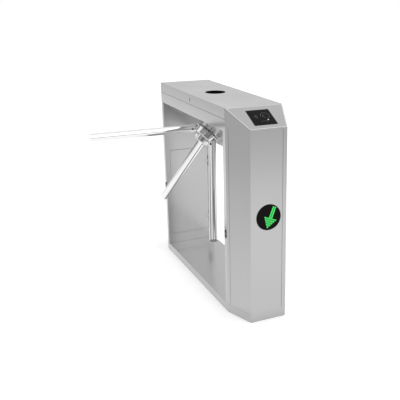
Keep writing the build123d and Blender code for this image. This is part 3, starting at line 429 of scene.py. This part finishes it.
# ---------------------------------------------------------- indicators: lit arrows
def led_spots():
    """Middles of the LEDs: two columns up the shaft, and rows that fill the head."""
    run = (ARROW_TIP - ARROW_TAIL).normalized()
    across = Vector((-run.y, run.x))
    spots = []
    for k in range(SHAFT_LED_ROWS):
        middle = ARROW_TAIL + (ARROW_NECK - ARROW_TAIL) * (k + 0.45) / SHAFT_LED_ROWS
        spots += [middle + across * SHAFT_LED_HALF, middle - across * SHAFT_LED_HALF]
    for k in range(HEAD_LED_ROWS):
        share = (k + 0.3) / HEAD_LED_ROWS
        middle = ARROW_NECK + (ARROW_TIP - ARROW_NECK) * share
        half = HEAD_HALF * (1 - share) - LED_MARGIN
        count = max(1, round(2 * half / LED_PITCH) + 1)
        for c in range(count):
            side = 0 if count == 1 else 2 * c / (count - 1) - 1
            spots.append(middle + across * half * side)
    return spots


def arrow_outline():
    """Shaft and head of the arrow, from the tail round."""
    run = (ARROW_TIP - ARROW_TAIL).normalized()
    across = Vector((-run.y, run.x))
    return [
        ARROW_TAIL + across * SHAFT_HALF,
        ARROW_NECK + across * SHAFT_HALF,
        ARROW_NECK + across * HEAD_HALF,
        ARROW_TIP,
        ARROW_NECK - across * HEAD_HALF,
        ARROW_NECK - across * SHAFT_HALF,
        ARROW_TAIL - across * SHAFT_HALF,
    ]


def arrow(name, end):
    """Green arrow of LEDs on the indicator of one end panel."""
    low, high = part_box(f"{name}_indicator_lens")
    face = Vector((0, low.y if end < 0 else high.y, (low.z + high.z) / 2))
    matrix = frame_matrix(face, (-end, 0, 0), (0, end, 0))
    bm = bmesh.new()
    prism(bm, arrow_outline(), PLATE_BACK, PLATE_FACE)
    place(f"arrow_plate_{name}", bm, matrix, led_plate)
    bm = bmesh.new()
    for spot in led_spots():
        dome(bm, (spot.x, spot.y, LED_BASE), LED_RADIUS, LED_RISE)
    place(f"arrow_leds_{name}", bm, matrix, led_core, smooth=True)


# ------------------------------------------------------------------- reader prints
def window_frame(name, end):
    """Matrix of a reader window's outer face, with x to the right of someone facing it."""
    window = nodes[f"{name}_reader_window"]
    to_world = window.matrix_world
    widest = max(window.data.polygons, key=lambda face: face.area * (face.normal.z > 0.5))
    out = (to_world.to_3x3() @ widest.normal).normalized()
    low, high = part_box(f"{name}_reader_window")
    centre = (low + high) / 2
    reach = max((to_world @ vertex.co).dot(out) for vertex in window.data.vertices)
    return frame_matrix(centre + out * (reach - centre.dot(out)), (-end, 0, 0), out)


def reader_print(name, end):
    """Faint generic print on a reader window: waves, a ring, dashes and a small lamp."""
    matrix = window_frame(name, end)
    bm = bmesh.new()
    for centre, radius, width, start, sweep, steps in PRINT_ARCS:
        arc(bm, centre, radius, width, start, sweep, steps, PRINT_BACK, PRINT_FACE)
    for k in range(DASH_COUNT):
        corner = (DASH_START[0] + DASH_PITCH * k, DASH_START[1])
        prism(bm, rectangle(corner, DASH_SIZE), PRINT_BACK, PRINT_FACE)
    place(f"reader_print_{name}", bm, matrix, print_grey)
    bm = bmesh.new()
    dome(bm, READER_LAMP_AT, READER_LAMP_RADIUS, READER_LAMP_RISE)
    place(f"reader_lamp_{name}", bm, matrix, lamp_white, smooth=True)


# -------------------------------------------------------- seams and painted edge highlights
def leg_seam(name, x, y, out, width):
    """One upright seam line."""
    start, end = Vector((x, y, SEAM_FOOT)), Vector((x, y, SEAM_HEAD))
    strip(name, start, end, out, width, SEAM_RISE, seam_dark)


def leg_seams(name, end):
    """Seams where the end panel and the tapered sides of a leg are folded and joined."""
    out = Vector((0, end, 0))
    leg_seam(f"{name}_panel_seam", PANEL_SEAM_X, end * HALF_LENGTH, out, PANEL_SEAM_WIDTH)
    for side, sign in SIDES.items():
        foot = Vector((sign * HALF_WIDTH, end * (HALF_LENGTH - TAPER_LENGTH), 0))
        along = Vector((-sign * TAPER_DEPTH, end * TAPER_LENGTH, 0)).normalized()
        out = Vector((sign * along.y * end, -sign * along.x * end, 0))
        at = foot + along * TAPER_SEAM_INSET
        leg_seam(f"{name}_taper_seam_{side}", at.x, at.y, out, TAPER_SEAM_WIDTH)


def painted_slope_highlights(name, end):
    """Painted highlight lines along the folded edges of a sloped top: bright strips that stand in for
    light caught by the folds.
    """
    out = Vector((0, end * SLOPE_DROP, TAPER_LENGTH)).normalized()
    top = Vector((0, end * (HALF_LENGTH - TAPER_LENGTH), TOP))
    low = Vector((0, end * HALF_LENGTH, TOP - SLOPE_DROP))
    inset = (low - top).normalized() * EDGE_INSET
    high_half, low_half = Vector((EDGE_HIGH_HALF, 0, 0)), Vector((EDGE_LOW_HALF, 0, 0))
    lines = {
        "upper": (top - high_half + inset, top + high_half + inset),
        "lower": (low - low_half - inset, low + low_half - inset),
    }
    for side, sign in SIDES.items():
        inward = Vector((-sign * EDGE_SIDE_INSET, 0, 0))
        lines[side] = (top + sign * high_half + inward, low + sign * low_half + inward)
    for side, (start, finish) in lines.items():
        strip(f"{name}_slope_edge_{side}", start, finish, out, EDGE_WIDTH, EDGE_RISE, painted_edge_highlight)


for add_pieces in (arrow, reader_print, leg_seams, painted_slope_highlights):
    for end_name, end_side in ENDS.items():
        add_pieces(end_name, end_side)

# ----------------------------------------------------------------- light and camera
FLOOR_HALF = 30.0
FLOOR_SHADE = (0.80, 0.80, 0.80, 1)
FLOOR_LIFT = 0.50  # added to the floor that the camera sees, so that it is near white
FLOOR_BASE = 0.68  # light that the floor gives the object, before the pools
FLOOR_BACK = 0.42  # more of it behind the object, fading in over these stretches
FLOOR_BACK_X, FLOOR_BACK_Y = (-2.4, -1.5), (0.2, 1.6)
FADE = 2.718  # a pool's light falls by this factor at a distance of 1 / tightness
# centre, tightness along X and Y, and light of each pool on the floor
FLOOR_POOLS = [((0.5, -1.7), (0.45, 0.52), 0.40), ((-0.5, 0.7), (0.8, 0.8), 0.20)]
# painted contact shadow: the floor's light on the object is darkened round the plinth
CONTACT_REACH = 0.08  # width of the darker floor round the plinth
CONTACT_SHADE = 0.84

STUDIO = 1.18  # strength of the walls' light
# level of the walls by height: 0 is the horizon and 1 is overhead
WALLS = [
    (0.0, 0.10), (0.09, 0.10), (0.11, 1.0), (0.24, 1.0), (0.26, 0.65), (0.30, 0.65),
    (0.32, 0.95), (0.55, 0.95), (0.57, 0.45), (0.61, 0.45), (0.63, 1.0), (1.0, 0.96),
]
# level of the walls by turn: 0 is -X, 0.25 is -Y and 0.5 is +X
TURNS = [
    (0.0, 1.0), (0.06, 1.0), (0.08, 0.15), (0.13, 0.40), (0.15, 0.45), (0.20, 0.50),
    (0.215, 0.10), (0.265, 0.10), (0.28, 1.7), (0.36, 1.7), (0.40, 1.0), (0.50, 0.95),
    (0.88, 1.0), (0.90, 0.25), (0.94, 0.25), (0.96, 1.0),
]

TOP_LIGHT_PLACE = (0.3, 0.2, 3.2)
TOP_LIGHT_SIZE = 3.0
TOP_LIGHT_POWER = 22  # watts

CAMERA_PLACE = (-1.2337, -3.0487, 1.4757)
CAMERA_TURN = (72.0, -0.1, -26.2)  # degrees
CAMERA_LENS = 58.8  # millimetres
CAMERA_SENSOR = 36.0  # millimetres
CAMERA_SHIFT = (-0.158, 0.001)


def pool(look, x, y, centre, tightness, light):
    """A round pool of light that fades away from its centre."""
    dx = look.maths("MULTIPLY", look.maths("SUBTRACT", x, centre[0]), tightness[0])
    dy = look.maths("MULTIPLY", look.maths("SUBTRACT", y, centre[1]), tightness[1])
    far = look.maths("ADD", look.maths("MULTIPLY", dx, dx), look.maths("MULTIPLY", dy, dy))
    fade = look.maths("POWER", FADE, look.maths("MULTIPLY", far, -1.0))
    return look.maths("MULTIPLY", fade, light)


def painted_contact_shadow(look, x, y):
    """Painted contact shadow: the light that the floor gives the object is darkened beside the plinth.
    """
    gaps = []
    for from_middle, half in ((x, HALF_WIDTH), (y, HALF_LENGTH)):
        gap = look.maths("SUBTRACT", look.maths("ABSOLUTE", from_middle), half)
        gaps.append(look.maths("MAXIMUM", gap, 0.0))
    return look.remap(look.maths("MAXIMUM", *gaps), 0.0, CONTACT_REACH, CONTACT_SHADE, 1.0)


def floor_look():
    """Pale paper floor. It lights the object with pools of light, brighter behind."""
    look = Look("floor_pale")
    split = look.new("ShaderNodeSeparateXYZ")
    look.feed(split.inputs[0], look.coord)
    x, y = split.outputs[0], split.outputs[1]
    back = look.remap(y, *FLOOR_BACK_Y, 0.0, FLOOR_BACK)
    level = look.maths("MULTIPLY", back, look.remap(x, *FLOOR_BACK_X, 0.0, 1.0))
    level = look.maths("ADD", level, FLOOR_BASE)
    for centre, tightness, light in FLOOR_POOLS:
        level = look.maths("ADD", level, pool(look, x, y, centre, tightness, light))
    level = look.maths("MULTIPLY", level, painted_contact_shadow(look, x, y))
    glow = look.new("ShaderNodeEmission", Strength=level)
    paper = look.new("ShaderNodeBsdfDiffuse", Color=FLOOR_SHADE)
    lift = look.new("ShaderNodeEmission", Strength=FLOOR_LIFT)
    both = look.new("ShaderNodeAddShader")
    look.feed(both.inputs[0], paper.outputs[0])
    look.feed(both.inputs[1], lift.outputs[0])
    look.feed(look.out.inputs["Surface"], look.seen_by_camera(both.outputs[0], glow.outputs[0]))
    return look.mat


def add_floor():
    mesh = bpy.data.meshes.new("floor")
    outline = rectangle((-FLOOR_HALF, -FLOOR_HALF), (2 * FLOOR_HALF, 2 * FLOOR_HALF))
    mesh.from_pydata([(x, y, 0) for x, y in outline], [], [(0, 1, 2, 3)])
    mesh.materials.append(floor_look())
    floor = bpy.data.objects.new("floor", mesh)
    bpy.context.scene.collection.objects.link(floor)


def add_studio():
    """White studio: bright walls with thin dark gaps between the light panels."""
    world = bpy.data.worlds.new("studio")
    bpy.context.scene.world = world
    world.use_nodes = True
    tools = Nodes(world.node_tree)
    out = tools.new("ShaderNodeOutputWorld")
    coord = tools.new("ShaderNodeTexCoord")
    split = tools.new("ShaderNodeSeparateXYZ")
    tools.feed(split.inputs[0], coord.outputs["Generated"])
    x, y, height = split.outputs
    turn = tools.maths("MULTIPLY_ADD", tools.maths("ARCTAN2", y, x), 0.5 / math.pi, 0.5)
    level = tools.maths("MULTIPLY", tools.levels(height, WALLS), tools.levels(turn, TURNS))
    around = tools.new("ShaderNodeBackground", Strength=tools.maths("MULTIPLY", level, STUDIO))
    white = tools.new("ShaderNodeBackground", Color=(1, 1, 1, 1))
    seen = tools.seen_by_camera(white.outputs[0], around.outputs[0])
    tools.feed(out.inputs["Surface"], seen)


def add_top_light():
    """Soft light from overhead, not mirrored in the steel."""
    data = bpy.data.lights.new("top", "AREA")
    data.shape = "RECTANGLE"
    data.size = TOP_LIGHT_SIZE
    data.size_y = TOP_LIGHT_SIZE
    data.energy = TOP_LIGHT_POWER
    light = bpy.data.objects.new("top", data)
    bpy.context.scene.collection.objects.link(light)
    light.location = TOP_LIGHT_PLACE
    light.rotation_euler = (-Vector(TOP_LIGHT_PLACE)).to_track_quat("-Z", "Y").to_euler()
    light.visible_glossy = False


def add_camera():
    data = bpy.data.cameras.new("camera")
    data.sensor_width = CAMERA_SENSOR
    data.lens = CAMERA_LENS
    data.shift_x, data.shift_y = CAMERA_SHIFT
    camera = bpy.data.objects.new("camera", data)
    bpy.context.scene.collection.objects.link(camera)
    camera.location = CAMERA_PLACE
    camera.rotation_euler = [math.radians(angle) for angle in CAMERA_TURN]
    bpy.context.scene.camera = camera
    bpy.context.scene.view_settings.view_transform = "Standard"


add_floor()
add_studio()
add_top_light()
add_camera()
